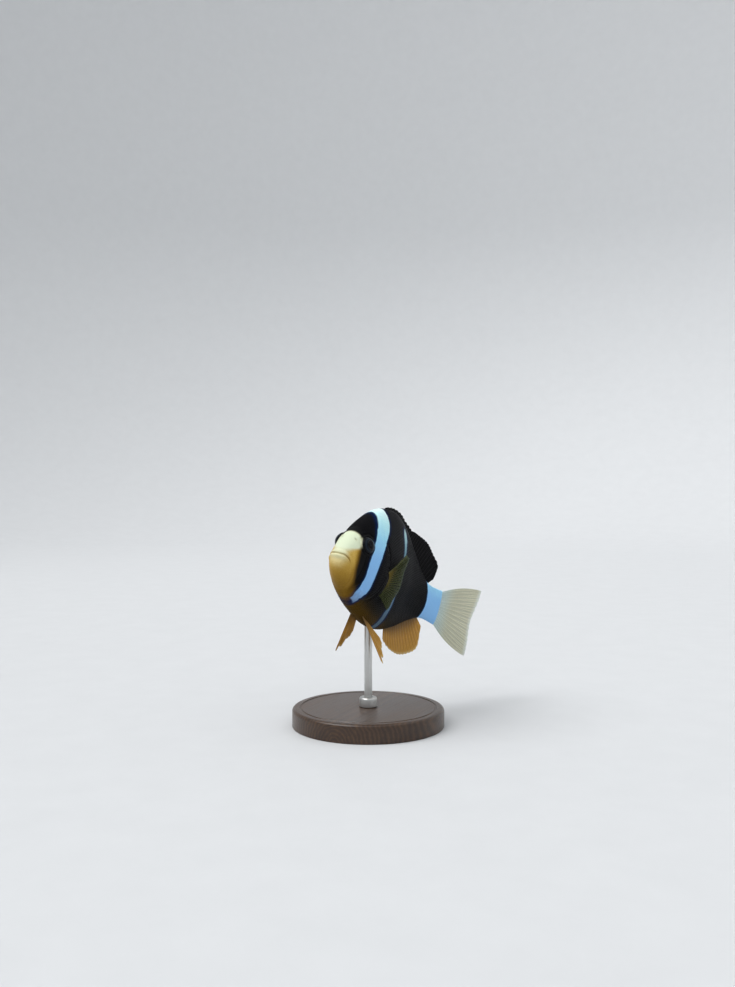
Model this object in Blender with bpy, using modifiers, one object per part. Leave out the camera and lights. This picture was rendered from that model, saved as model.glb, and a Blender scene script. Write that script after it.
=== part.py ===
"""Clark's anemonefish, dark form, as a life-size display model on a rod over a round base.

The fish is made in its own measures and then posed. A point on it is (along, side, up): along runs from the
tip of the snout to the tail, side is towards the fish's left, up is towards its back, and all three are
shares of the standard length, which reaches from the snout to the root of the tail fin. The posed fish
heads along -Y with its nose raised, leans to its left and swings its tail to the left. The world origin is
the centre of the base's underside, and +Z is up.
"""

import math

import bmesh
import bpy
from mathutils import Matrix, Vector

# Driving dimensions, in metres and degrees
STANDARD_LENGTH = 0.085
NOSE_UP = 20.5
LEAN = 9.0
GAP = 0.0003  # between pieces that meet
FIN_THICKNESS = 0.0006
BASE_RADIUS = 0.029
BASE_HEIGHT = 0.007
BASE_EDGE = 0.0012  # round of the base's upper and lower edges
ROD_RADIUS = 0.0015
COLLAR_RADIUS = 0.0034
COLLAR_HEIGHT = 0.0035
COLLAR_EDGE = 0.0008  # slant of its upper edge
BELLY_CLEARANCE = 0.030  # height of the belly, where the rod meets it, over the base

# The rest are shares of the standard length
BEND_START = 0.48
BEND_RADIUS = 1.3
ROD_ALONG = 0.49

# Side and plan outline of the body: along, crest above the axis, keel below it, half width
BODY_STATIONS = (
    (0.000, -0.020, -0.044, 0.016),  # lips
    (0.014, 0.010, -0.076, 0.036),
    (0.045, 0.060, -0.110, 0.057),  # corner of the mouth
    (0.090, 0.122, -0.143, 0.075),  # front of the eye
    (0.140, 0.180, -0.169, 0.087),
    (0.210, 0.238, -0.195, 0.097),  # nape
    (0.300, 0.276, -0.217, 0.102),  # shoulder
    (0.420, 0.294, -0.236, 0.099),  # deepest
    (0.560, 0.266, -0.228, 0.084),
    (0.680, 0.206, -0.186, 0.060),  # middle of the anal fin
    (0.790, 0.136, -0.124, 0.040),
    (0.880, 0.092, -0.086, 0.026),  # tail stalk
    (1.000, 0.090, -0.088, 0.012),  # root of the tail fin
)
SNOUT_ROUND = 0.012  # the sections shrink to a point over this length
TAIL_ROUND = 0.010
WIDEST_SHARE = 0.46  # height of a section's widest place, from its keel to its crest
CREST_PINCH = 0.24  # how far a trunk section's sides draw in towards its crest
KEEL_PINCH = 0.06
PINCH_FULL_AT = 0.34

EYE_ALONG = 0.118
EYE_UP = 0.058
EYE_RADIUS = 0.038
EYE_DEPTH = 0.026  # half the thickness of the eyeball
EYE_SINK = 0.012  # depth of its centre under the skin

# Outline of the gill cover in side view, and how deep it goes
COVER_CENTRE = (0.228, -0.020)
COVER_REACH = (0.074, 0.122)
COVER_INNER_SIDE = 0.060

# Cuts seen from the side, as (along, up) points from the back or the snout downwards
HEAD_CUT = ((0.318, 0.380), (0.290, 0.180), (0.268, 0.010), (0.236, -0.130), (0.200, -0.320))
JAW_CUT = ((-0.060, -0.024), (0.000, -0.031), (0.050, -0.054), (0.090, -0.094), (0.106, -0.230))
STALK_CUT = ((0.866, 0.200), (0.874, 0.080), (0.880, 0.000), (0.874, -0.080), (0.866, -0.200))

# Mesh fineness
BODY_RINGS = 42
BODY_SIDES = 32
FIN_ROWS = 5


def smooth_through(stations, where, column):
    """A smooth curve through one column of a table, read at a place along it. Slopes come from neighbours."""
    if where <= stations[0][0]:
        return stations[0][column]
    if where >= stations[-1][0]:
        return stations[-1][column]
    after = next(i for i, row in enumerate(stations) if row[0] >= where)
    before = after - 1

    def slope(i):
        low, high = max(i - 1, 0), min(i + 1, len(stations) - 1)
        return (stations[high][column] - stations[low][column]) / (stations[high][0] - stations[low][0])

    span = stations[after][0] - stations[before][0]
    t = (where - stations[before][0]) / span
    start, end = stations[before][column], stations[after][column]
    rise = end - start
    a = slope(before) * span - rise
    b = rise - slope(after) * span
    return start + rise * t + t * (1 - t) * (a * (1 - t) + b * t)


def round_end(distance, reach):
    """Shrinks a section near an end of the body, as a quarter circle does."""
    if distance >= reach:
        return 1.0
    return math.sqrt(max(0.0, 1 - (1 - distance / reach) ** 2))


def crest(along):
    return smooth_through(BODY_STATIONS, along, 1)


def keel(along):
    return smooth_through(BODY_STATIONS, along, 2)


def body_point(along, angle, grow=0.0):
    """A point of the skin. Angle 0 is the left flank, 90 degrees the crest. Grow swells the body."""
    top, bottom = crest(along), keel(along)
    middle = bottom + (top - bottom) * WIDEST_SHARE
    shrink = round_end(along, SNOUT_ROUND) * round_end(1.0 - along, TAIL_ROUND)
    rise = math.sin(angle)
    reach = (top - middle if rise >= 0 else middle - bottom) * shrink + grow
    pinch = CREST_PINCH * min(1.0, along / PINCH_FULL_AT) if rise >= 0 else KEEL_PINCH
    half_width = smooth_through(BODY_STATIONS, along, 3) * shrink + grow
    side = half_width * math.cos(angle) * (1 - pinch * rise * rise)
    return Vector((along + grow * (2 * along - 1), side, middle + reach * rise))


def bend(point):
    """Swings the rear of the fish to its left, round an arc."""
    along, side, up = point
    turn = max(0.0, along - BEND_START) / BEND_RADIUS
    straight = min(along, BEND_START)
    return Vector((
        straight + BEND_RADIUS * math.sin(turn) - side * math.sin(turn),
        BEND_RADIUS * (1 - math.cos(turn)) + side * math.cos(turn),
        up,
    ))


def fish_axes():
    """Columns that carry (along, side, up) into the world, without the place of the snout."""
    forward = Vector((0, -math.cos(math.radians(NOSE_UP)), math.sin(math.radians(NOSE_UP))))
    level_left = Vector((1, 0, 0))
    raised = forward.cross(level_left)
    lean = math.radians(LEAN)
    left = level_left * math.cos(lean) - raised * math.sin(lean)
    up = raised * math.cos(lean) + level_left * math.sin(lean)
    return Matrix((-forward, left, up)).transposed() * STANDARD_LENGTH


AXES = fish_axes()
ROD_FOOT = AXES @ Vector((ROD_ALONG, 0.0, keel(ROD_ALONG)))
SNOUT = Vector((0, 0, BASE_HEIGHT + BELLY_CLEARANCE)) - ROD_FOOT


def in_world(point):
    return SNOUT + AXES @ bend(point)


def clear_scene():
    for old in list(bpy.data.objects):
        bpy.data.objects.remove(old)


def new_collection(name):
    made = bpy.data.collections.new(name)
    bpy.context.scene.collection.children.link(made)
    return made


def material(name, colour, roughness, metallic=0.0):
    made = bpy.data.materials.new(name)
    made.use_nodes = True
    shader = made.node_tree.nodes["Principled BSDF"]
    shader.inputs["Base Color"].default_value = (*colour, 1)
    shader.inputs["Roughness"].default_value = roughness
    shader.inputs["Metallic"].default_value = metallic
    return made


def add_object(name, mesh, collection, finish=None, smooth_under=50):
    """Closes a bmesh into an object with outward faces and smooth shading up to an angle, in degrees."""
    bmesh.ops.recalc_face_normals(mesh, faces=mesh.faces)
    data = bpy.data.meshes.new(name)
    mesh.to_mesh(data)
    mesh.free()
    data.shade_smooth()
    data.set_sharp_from_angle(angle=math.radians(smooth_under))
    if finish:
        data.materials.append(finish)
    made = bpy.data.objects.new(name, data)
    collection.objects.link(made)
    return made


def as_cutter(obj):
    obj.hide_render = True
    obj.display_type = "WIRE"
    return obj


def boolean(obj, cutter, operation="DIFFERENCE"):
    modifier = obj.modifiers.new(cutter.name, "BOOLEAN")
    modifier.operation = operation
    modifier.object = cutter


def thicken(obj, thickness):
    modifier = obj.modifiers.new("thickness", "SOLIDIFY")
    modifier.thickness = thickness
    modifier.offset = 0


def apply_modifiers(obj):
    """Replaces an object's mesh by its evaluated one."""
    bpy.context.view_layer.update()
    evaluated = obj.evaluated_get(bpy.context.evaluated_depsgraph_get())
    done = bpy.data.meshes.new_from_object(evaluated)
    obj.modifiers.clear()
    obj.data = done


def body_mesh(grow=0.0):
    """A globe drawn out into the fish's body, with its poles at the snout and the tail."""
    mesh = bmesh.new()
    bmesh.ops.create_uvsphere(mesh, u_segments=BODY_SIDES, v_segments=BODY_RINGS, radius=1.0)
    for vertex in mesh.verts:
        share = (1 - max(-1.0, min(1.0, vertex.co.z))) / 2
        angle = math.atan2(vertex.co.y, vertex.co.x)
        vertex.co = in_world(body_point(share**1.15, angle, grow))
    return mesh


def centre_in_fish(obj):
    """The middle of an object's points, in the fish's measures before it is bent."""
    middle = sum((vertex.co for vertex in obj.data.vertices), Vector()) / len(obj.data.vertices)
    return AXES.inverted() @ (middle - SNOUT)


def split(obj):
    """Parts an object into one object for each closed body, listed from the snout to the tail."""
    bpy.ops.object.select_all(action="DESELECT")
    obj.select_set(True)
    bpy.context.view_layer.objects.active = obj
    bpy.ops.mesh.separate(type="LOOSE")
    return sorted(bpy.context.selected_objects, key=lambda piece: centre_in_fish(piece).x)


def hand_over(obj, name, finish):
    """Names a finished piece and moves it from the cutters to the fish."""
    obj.name = name
    obj.data.name = name
    obj.data.materials.clear()
    obj.data.materials.append(finish)
    cutters.objects.unlink(obj)
    fish.objects.link(obj)


def cutting_sheet(name, route, half_span, steps=14):
    """A thin curved wall across the fish, which follows a route seen from the side."""
    stops = [(i / (len(route) - 1), *place) for i, place in enumerate(route)]
    mesh = bmesh.new()
    bmesh.ops.create_grid(mesh, x_segments=steps, y_segments=2, size=1.0)
    for vertex in mesh.verts:
        t = (vertex.co.x + 1) / 2
        along, up = smooth_through(stops, t, 1), smooth_through(stops, t, 2)
        vertex.co = in_world((along, vertex.co.y * half_span, up))
    sheet = add_object(name, mesh, cutters)
    thicken(sheet, GAP)
    return as_cutter(sheet)


def gill_cover_cutter(name, hand):
    """A thin-walled cup whose open mouth faces out of one flank; what it encloses is the gill cover."""
    mesh = bmesh.new()
    rim = bmesh.ops.create_circle(mesh, cap_ends=True, segments=28, radius=1.0)["verts"]
    for vertex in rim:
        around = math.atan2(vertex.co.y, vertex.co.x)
        fuller_rear = 1 + 0.12 * math.cos(around - math.radians(20))
        vertex.co = Vector((
            COVER_CENTRE[0] + COVER_REACH[0] * math.cos(around) * fuller_rear,
            hand * COVER_INNER_SIDE,
            COVER_CENTRE[1] + COVER_REACH[1] * math.sin(around),
        ))
    edges = [edge for edge in mesh.edges if edge.is_boundary]
    wall = bmesh.ops.extrude_edge_only(mesh, edges=edges)["geom"]
    outer = [item for item in wall if isinstance(item, bmesh.types.BMVert)]
    bmesh.ops.translate(mesh, verts=outer, vec=(0, hand * COVER_REACH[1], 0))
    for vertex in mesh.verts:
        vertex.co = in_world(vertex.co)
    cup = add_object(name, mesh, cutters)
    thicken(cup, GAP)
    return as_cutter(cup)


def eye_frame(hand):
    """Centre of an eyeball and its outward axis, in the world, from the skin at the eye's place."""
    top, bottom = crest(EYE_ALONG), keel(EYE_ALONG)
    middle = bottom + (top - bottom) * WIDEST_SHARE
    angle = math.asin((EYE_UP - middle) / (top - middle))
    if hand < 0:
        angle = math.pi - angle
    step = 0.004
    skin = in_world(body_point(EYE_ALONG, angle))
    back = in_world(body_point(EYE_ALONG + step, angle)) - skin
    round_ = in_world(body_point(EYE_ALONG, angle + step)) - skin
    outward = back.cross(round_).normalized()
    if outward.dot(AXES @ Vector((0, hand, 0))) < 0:
        outward.negate()
    return skin - outward * EYE_SINK * STANDARD_LENGTH, outward


def eyeball(name, hand, collection, grow, finish=None):
    centre, outward = eye_frame(hand)
    mesh = bmesh.new()
    bmesh.ops.create_uvsphere(mesh, u_segments=20, v_segments=12, radius=1.0)
    across = EYE_RADIUS * STANDARD_LENGTH + grow
    deep = EYE_DEPTH * STANDARD_LENGTH + grow
    bmesh.ops.scale(mesh, vec=(across, across, deep), verts=mesh.verts)
    turn = outward.to_track_quat("Z", "Y").to_matrix().to_4x4()
    bmesh.ops.transform(mesh, matrix=Matrix.Translation(centre) @ turn, verts=mesh.verts)
    return add_object(name, mesh, collection, finish)


def body_parts():
    """The flesh: gill covers are cut free first, then the lower jaw, head, trunk and tail stalk."""
    whole = add_object("body", body_mesh(), cutters)
    for hand, side in ((1, "left"), (-1, "right")):
        boolean(whole, as_cutter(eyeball(f"socket_{side}", hand, cutters, GAP)))
        boolean(whole, gill_cover_cutter(f"cover_cut_{side}", hand))
    apply_modifiers(whole)
    right_cover, core, left_cover = sorted(split(whole), key=lambda piece: centre_in_fish(piece).y)
    hand_over(left_cover, "gill_cover_left", dark_skin)
    hand_over(right_cover, "gill_cover_right", dark_skin)
    boolean(core, cutting_sheet("head_cut", HEAD_CUT, 0.16))
    boolean(core, cutting_sheet("jaw_cut", JAW_CUT, 0.12))
    boolean(core, cutting_sheet("stalk_cut", STALK_CUT, 0.10))
    apply_modifiers(core)
    names = ("lower_jaw", "head", "trunk", "tail_stalk")
    finishes = (yellow_skin, dark_skin, dark_skin, white_skin)
    for piece, name, finish in zip(split(core), names, finishes, strict=True):
        hand_over(piece, name, finish)


def fin(name, root, tip, columns, finish, bulge=None):
    """A blade from a root line to a tip line, trimmed to meet the body. Both lines take a share from 0 to 1.

    The bulge is how far each ray bows at half its length.
    """
    mesh = bmesh.new()
    bmesh.ops.create_grid(mesh, x_segments=columns, y_segments=FIN_ROWS, size=1.0)
    for vertex in mesh.verts:
        t, out = (vertex.co.x + 1) / 2, (vertex.co.y + 1) / 2
        point = Vector(root(t)).lerp(Vector(tip(t)), out)
        if bulge:
            point += Vector(bulge(t)) * math.sin(math.pi * out)
        vertex.co = in_world(point)
    blade = add_object(name, mesh, fish, finish)
    thicken(blade, FIN_THICKNESS)
    boolean(blade, body_clearance)
    apply_modifiers(blade)
    return blade


# Median fins. Each table is: along the root, height of the fin there, how far its edge is swept back
SPINY_DORSAL = (
    (0.300, 0.006, 0.006),
    (0.340, 0.014, 0.020),
    (0.420, 0.017, 0.030),
    (0.520, 0.017, 0.034),
    (0.590, 0.024, 0.030),
)
SOFT_DORSAL = (
    (0.596, 0.022, 0.024),
    (0.640, 0.050, 0.030),
    (0.700, 0.081, 0.046),
    (0.750, 0.098, 0.056),
    (0.800, 0.098, 0.062),
    (0.840, 0.080, 0.068),
    (0.864, 0.024, 0.038),
)
ANAL = (
    (0.620, 0.044, 0.030),
    (0.660, 0.086, 0.064),
    (0.710, 0.116, 0.092),
    (0.760, 0.122, 0.112),
    (0.810, 0.100, 0.112),
    (0.852, 0.024, 0.060),
)
FIN_ROOT_DEPTH = 0.014  # how far a blade starts inside the body before it is trimmed


def median_fin(name, table, upward, columns, finish):
    """A fin on the crest (upward 1) or on the keel (upward -1)."""
    first, last = table[0][0], table[-1][0]

    def along(t):
        return first + (last - first) * t

    def line(where):
        return crest(where) if upward > 0 else keel(where)

    def root(t):
        return along(t), 0.0, line(along(t)) - upward * FIN_ROOT_DEPTH

    def tip(t):
        where = along(t)
        height, sweep = (smooth_through(table, where, column) for column in (1, 2))
        return where + sweep, 0.0, line(where) + upward * height

    return fin(name, root, tip, columns, finish)


TAIL_FIN_ROOT = 0.986
TAIL_FIN_HALF_ROOT = 0.082
TAIL_FIN_HALF_SPREAD = 0.172
TAIL_FIN_LENGTH = 0.250
TAIL_FIN_NOTCH = 0.026  # how much shorter the middle rays are than the corners
TAIL_FIN_CORNER = 0.016  # how far the two corners are rounded back
TAIL_FIN_EDGE_BULGE = 0.014


def tail_fin():
    def root(t):
        return TAIL_FIN_ROOT, 0.0, (2 * t - 1) * TAIL_FIN_HALF_ROOT

    def tip(t):
        height = 2 * t - 1
        reach = TAIL_FIN_LENGTH - TAIL_FIN_NOTCH * (1 - abs(height) ** 1.5)
        reach -= TAIL_FIN_CORNER * height**12
        spread = math.sin(height * math.radians(78)) / math.sin(math.radians(78))
        return 1.0 + reach, 0.0, spread * TAIL_FIN_HALF_SPREAD

    def bulge(t):
        return 0.0, 0.0, (2 * t - 1) ** 3 * TAIL_FIN_EDGE_BULGE

    return fin("tail_fin", root, tip, 18, pale_fin, bulge)


# A pectoral fin fans out from a short upright root on the flank
PECTORAL_ALONG = 0.317
PECTORAL_ROOT = (-0.030, -0.096)  # heights of the root's upper and lower end
PECTORAL_SPREAD = (60.0, -36.0)  # directions of its first and last ray, in degrees above straight back
PECTORAL_LENGTHS = (0.186, 0.100)  # the second ray, which is the longest, and the last
PECTORAL_FALL = 0.55  # how quickly the rays shorten after the second: below 1 gives a pointed fin
PECTORAL_FLARE = 0.13  # how far a ray leans out from the flank, as a share of its length
PECTORAL_CUP = 0.006  # how far the rays bow out on the way


def pectoral_fin(side, hand):
    def root_place(t):
        up = PECTORAL_ROOT[0] + (PECTORAL_ROOT[1] - PECTORAL_ROOT[0]) * t
        top, bottom = crest(PECTORAL_ALONG), keel(PECTORAL_ALONG)
        middle = bottom + (top - bottom) * WIDEST_SHARE
        reach = top - middle if up > middle else middle - bottom
        skin = body_point(PECTORAL_ALONG, math.asin((up - middle) / reach))
        return Vector((PECTORAL_ALONG, hand * skin.y, up))

    def root(t):
        return root_place(t) - Vector((FIN_ROOT_DEPTH, hand * FIN_ROOT_DEPTH, 0))

    def tip(t):
        direction = math.radians(PECTORAL_SPREAD[0] + (PECTORAL_SPREAD[1] - PECTORAL_SPREAD[0]) * t)
        longest, shortest = PECTORAL_LENGTHS
        length = longest - (longest - shortest) * (abs(t - 0.1) / 0.9) ** PECTORAL_FALL
        out = hand * PECTORAL_FLARE * length
        return root_place(t) + Vector((length * math.cos(direction), out, length * math.sin(direction)))

    def bulge(_):
        return 0.0, hand * PECTORAL_CUP, 0.0

    return fin(f"pectoral_fin_{side}", root, tip, 14, olive_fin, bulge)


PELVIC_ALONG = (0.335, 0.385)  # front and rear end of the root
PELVIC_SIDE = 0.030
PELVIC_LENGTHS = (0.235, 0.120)  # first and last ray
PELVIC_DROP = (48.0, 22.0)  # degrees under straight back
PELVIC_FLARE = 0.42


def pelvic_fin(side, hand):
    def root_place(t):
        along = PELVIC_ALONG[0] + (PELVIC_ALONG[1] - PELVIC_ALONG[0]) * t
        return Vector((along, hand * PELVIC_SIDE * (1 - 0.3 * t), keel(along) + 0.010))

    def root(t):
        return root_place(t) + Vector((-0.006, -hand * 0.006, FIN_ROOT_DEPTH))

    def tip(t):
        length = PELVIC_LENGTHS[0] + (PELVIC_LENGTHS[1] - PELVIC_LENGTHS[0]) * t**0.7
        drop = math.radians(PELVIC_DROP[0] + (PELVIC_DROP[1] - PELVIC_DROP[0]) * t)
        out = hand * PELVIC_FLARE * length
        return root_place(t) + Vector((length * math.cos(drop), out, -length * math.sin(drop)))

    return fin(f"pelvic_fin_{side}", root, tip, 6, yellow_fin)


def cylinder(name, radius, low, high, finish, sides):
    mesh = bmesh.new()
    place = Matrix.Translation((0, 0, (low + high) / 2))
    size = {"radius1": radius, "radius2": radius, "depth": high - low}
    bmesh.ops.create_cone(mesh, cap_ends=True, segments=sides, matrix=place, **size)
    return add_object(name, mesh, fish, finish)


def stand():
    """A round base, a collar on it and one rod that rises to the belly."""
    base = cylinder("stand_base", BASE_RADIUS, 0.0, BASE_HEIGHT, base_finish, 48)
    rounding = base.modifiers.new("rounding", "BEVEL")
    rounding.width = BASE_EDGE
    rounding.segments = 3

    foot = BASE_HEIGHT + GAP
    rod = cylinder("stand_rod", ROD_RADIUS, foot, foot + BELLY_CLEARANCE * 1.2, metal, 20)
    boolean(rod, body_clearance)
    apply_modifiers(rod)

    top = foot + COLLAR_HEIGHT
    bore = ROD_RADIUS + GAP
    profile = (
        (bore, top),
        (COLLAR_RADIUS - COLLAR_EDGE, top),
        (COLLAR_RADIUS, top - COLLAR_EDGE),
        (COLLAR_RADIUS, foot),
        (bore, foot),
    )
    mesh = bmesh.new()
    points = [mesh.verts.new((radius, 0, height)) for radius, height in profile]
    for pair in zip(points, points[1:] + points[:1], strict=True):
        mesh.edges.new(pair)
    collar = add_object("stand_collar", mesh, fish, metal)
    turn = collar.modifiers.new("turn", "SCREW")
    turn.angle = math.tau
    turn.steps = 28
    turn.render_steps = 28
    turn.use_merge_vertices = True
    turn.merge_threshold = 0.00001


clear_scene()
fish = new_collection("clarks_anemonefish")
cutters = new_collection("cutters")

dark_skin = material("dark_skin", (0.012, 0.010, 0.011), 0.42)
yellow_skin = material("yellow_skin", (0.72, 0.42, 0.07), 0.45)
white_skin = material("white_skin", (0.62, 0.76, 0.86), 0.40)
pale_fin = material("pale_fin", (0.78, 0.74, 0.58), 0.50)
black_fin = material("black_fin", (0.006, 0.006, 0.008), 0.48)
yellow_fin = material("yellow_fin", (0.70, 0.42, 0.08), 0.50)
olive_fin = material("olive_fin", (0.34, 0.33, 0.10), 0.50)
eye_finish = material("eye", (0.010, 0.012, 0.020), 0.08)
base_finish = material("base_wood", (0.060, 0.030, 0.016), 0.38)
metal = material("rod_steel", (0.60, 0.60, 0.58), 0.28, 1.0)

body_clearance = as_cutter(add_object("body_clearance", body_mesh(GAP / STANDARD_LENGTH), cutters))
body_parts()
eyeball("eye_left", 1, fish, 0.0, eye_finish)
eyeball("eye_right", -1, fish, 0.0, eye_finish)
median_fin("dorsal_fin_spiny", SPINY_DORSAL, 1, 18, black_fin)
median_fin("dorsal_fin_soft", SOFT_DORSAL, 1, 16, black_fin)
median_fin("anal_fin", ANAL, -1, 14, yellow_fin)
tail_fin()
for hand_of, side_of in ((1, "left"), (-1, "right")):
    pectoral_fin(side_of, hand_of)
    pelvic_fin(side_of, hand_of)
stand()
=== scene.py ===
import math

import bmesh
import bpy
from mathutils import Matrix, Vector
from mathutils.bvhtree import BVHTree


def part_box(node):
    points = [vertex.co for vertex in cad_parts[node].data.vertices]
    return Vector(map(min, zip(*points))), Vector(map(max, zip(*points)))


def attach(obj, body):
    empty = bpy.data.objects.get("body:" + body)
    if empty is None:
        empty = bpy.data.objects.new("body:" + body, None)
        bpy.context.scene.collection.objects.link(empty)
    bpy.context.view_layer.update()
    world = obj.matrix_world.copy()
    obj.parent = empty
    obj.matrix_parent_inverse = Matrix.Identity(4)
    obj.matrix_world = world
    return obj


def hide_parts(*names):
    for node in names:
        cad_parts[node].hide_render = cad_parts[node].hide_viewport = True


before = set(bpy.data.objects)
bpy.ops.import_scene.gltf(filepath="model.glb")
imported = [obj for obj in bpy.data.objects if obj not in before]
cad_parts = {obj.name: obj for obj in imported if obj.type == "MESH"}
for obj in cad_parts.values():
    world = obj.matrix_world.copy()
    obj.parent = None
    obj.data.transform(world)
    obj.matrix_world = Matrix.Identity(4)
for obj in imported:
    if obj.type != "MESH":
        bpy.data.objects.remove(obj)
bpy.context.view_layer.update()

# The skin: one closed surface over head, jaw, gill covers, trunk and tail stalk, with lips, nostrils and eye
# rims. It is cast resin, painted near-black with three icy bars, a cream and gold blaze and a brown belly. It
# rides on the stand's rod with its nose up, leaning to its left and with its tail swung to the left.
STANDARD_LENGTH = 0.085  # a place on the fish is (along, left, up) in shares of this
MILLIMETRE = 0.001 / STANDARD_LENGTH
NOSE_UP = 20.5
LEAN = 9.0
BEND_START = 0.48
BEND_RADIUS = 1.3
ROD_ALONG = 0.49
BELLY_HEIGHT = 0.037
BODY_STATIONS = (  # along, crest, keel, half width
    (0.000, -0.020, -0.044, 0.016),
    (0.014, 0.010, -0.076, 0.036),
    (0.045, 0.060, -0.110, 0.057),
    (0.090, 0.122, -0.143, 0.075),
    (0.140, 0.180, -0.169, 0.087),
    (0.210, 0.238, -0.195, 0.097),
    (0.300, 0.276, -0.217, 0.102),
    (0.420, 0.294, -0.236, 0.099),
    (0.560, 0.266, -0.228, 0.084),
    (0.680, 0.206, -0.186, 0.060),
    (0.790, 0.136, -0.124, 0.040),
    (0.880, 0.092, -0.086, 0.026),
    (1.000, 0.090, -0.088, 0.012),
)
SNOUT_ROUND = 0.012  # how far from an end the body is rounded
TAIL_ROUND = 0.010
WIDEST_SHARE = 0.46
CREST_PINCH = 0.24
KEEL_PINCH = 0.06
PINCH_FULL_AT = 0.34


def smooth_through(stations, where, column):
    """A smooth curve through one column of a table, read at a place along its first column."""
    if where <= stations[0][0]:
        return stations[0][column]
    if where >= stations[-1][0]:
        return stations[-1][column]
    after = next(i for i, row in enumerate(stations) if row[0] >= where)
    before = after - 1

    def slope(i):
        low, high = max(i - 1, 0), min(i + 1, len(stations) - 1)
        return (stations[high][column] - stations[low][column]) / (stations[high][0] - stations[low][0])

    span = stations[after][0] - stations[before][0]
    t = (where - stations[before][0]) / span
    start, rise = stations[before][column], stations[after][column] - stations[before][column]
    a = slope(before) * span - rise
    b = rise - slope(after) * span
    return start + rise * t + t * (1 - t) * (a * (1 - t) + b * t)


def ease(x, low, high):
    """Rises smoothly from 0 at the low end to 1 at the high end."""
    t = max(0.0, min(1.0, (x - low) / (high - low)))
    return t * t * (3 - 2 * t)


def hump(x, width):
    """A smooth rise round 0, of height 1."""
    return math.exp(-((x / width) ** 2))


def round_end(distance, reach):
    """Shrinks a section near an end of the body, as a quarter circle does."""
    if distance >= reach:
        return 1.0
    return math.sqrt(max(0.0, 1 - (1 - distance / reach) ** 2))


def crest(along):
    return smooth_through(BODY_STATIONS, along, 1)


def keel(along):
    return smooth_through(BODY_STATIONS, along, 2)


def body_place(along, angle, grow=0.0):
    """A place on the body's surface. Angle 0 is the left flank and a quarter turn the crest."""
    top, bottom = crest(along), keel(along)
    middle = bottom + (top - bottom) * WIDEST_SHARE
    shrink = round_end(along, SNOUT_ROUND) * round_end(1.0 - along, TAIL_ROUND)
    rise = math.sin(angle)
    reach = ((top - middle if rise >= 0 else middle - bottom) + grow) * shrink
    pinch = CREST_PINCH * min(1.0, along / PINCH_FULL_AT) if rise >= 0 else KEEL_PINCH
    half_width = (smooth_through(BODY_STATIONS, along, 3) + grow) * shrink
    side = half_width * math.cos(angle) * (1 - pinch * rise * rise)
    return Vector((along + grow * (2 * along - 1), side, middle + reach * rise))


def fish_axes():
    """Columns that carry a place on the fish into the model, without the place of the snout."""
    forward = Vector((0, -math.cos(math.radians(NOSE_UP)), math.sin(math.radians(NOSE_UP))))
    level_left = Vector((1, 0, 0))
    raised = forward.cross(level_left)
    lean = math.radians(LEAN)
    left = level_left * math.cos(lean) - raised * math.sin(lean)
    up = raised * math.cos(lean) + level_left * math.sin(lean)
    return Matrix((-forward, left, up)).transposed() * STANDARD_LENGTH


AXES = fish_axes()
AXES_BACK = AXES.inverted()
SNOUT = Vector((0, 0, BELLY_HEIGHT)) - AXES @ Vector((ROD_ALONG, 0, keel(ROD_ALONG)))


def in_model(place):
    """Bends the rear of the fish to its left and poses it."""
    along, side, up = place
    turn = max(0.0, along - BEND_START) / BEND_RADIUS
    radius = BEND_RADIUS - side
    straight = min(along, BEND_START)
    bent = Vector((straight + radius * math.sin(turn), BEND_RADIUS - radius * math.cos(turn), up))
    return SNOUT + AXES @ bent


def on_fish(point):
    """The place on the fish of a point of the model: the way back from in_model."""
    x, y, up = AXES_BACK @ (point - SNOUT)
    if x <= BEND_START:
        return Vector((x, y, up))
    turn = math.atan2(x - BEND_START, BEND_RADIUS - y)
    radius = math.hypot(x - BEND_START, BEND_RADIUS - y)
    return Vector((BEND_START + BEND_RADIUS * turn, BEND_RADIUS - radius, up))


HEAD_BAR = (  # up, where the bar starts, where it ends
    (-0.190, 0.186, 0.208),
    (-0.150, 0.168, 0.217),
    (-0.110, 0.161, 0.229),
    (-0.060, 0.152, 0.224),
    (-0.010, 0.145, 0.223),
    (0.060, 0.160, 0.233),
    (0.120, 0.170, 0.249),
    (0.180, 0.187, 0.273),
    (0.215, 0.192, 0.274),
    (0.265, 0.186, 0.262),
)
MIDDLE_BAR = (
    (-0.240, 0.476, 0.512),
    (-0.120, 0.462, 0.496),
    (0.010, 0.453, 0.475),
    (0.080, 0.461, 0.481),
    (0.135, 0.466, 0.493),
    (0.175, 0.462, 0.499),
    (0.205, 0.456, 0.503),
    (0.225, 0.459, 0.495),
    (0.238, 0.470, 0.482),
    (0.246, 0.482, 0.474),
    (0.300, 0.560, 0.400),
)
TAIL_BAR = ((-0.120, 0.856, 9.0), (0.000, 0.870, 9.0), (0.120, 0.852, 9.0))
BAR_FLOORS = (1.3, -9.0, -9.0)  # millimetres over the keel where each bar stops
BLAZE_EDGE = (  # up, where the blaze ends
    (-0.170, 0.178),
    (-0.150, 0.150),
    (-0.125, 0.131),
    (-0.100, 0.113),
    (-0.080, 0.098),
    (-0.060, 0.087),
    (-0.035, 0.081),
    (0.000, 0.079),
    (0.045, 0.084),
    (0.080, 0.086),
    (0.096, 0.075),
    (0.120, 0.060),
)
CREAM_EDGE = (
    (-0.140, 0.016),
    (-0.100, 0.018),
    (-0.060, 0.019),
    (-0.030, 0.020),
    (-0.005, 0.026),
    (0.012, 0.046),
    (0.026, 0.078),
    (0.040, 0.110),
)


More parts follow.
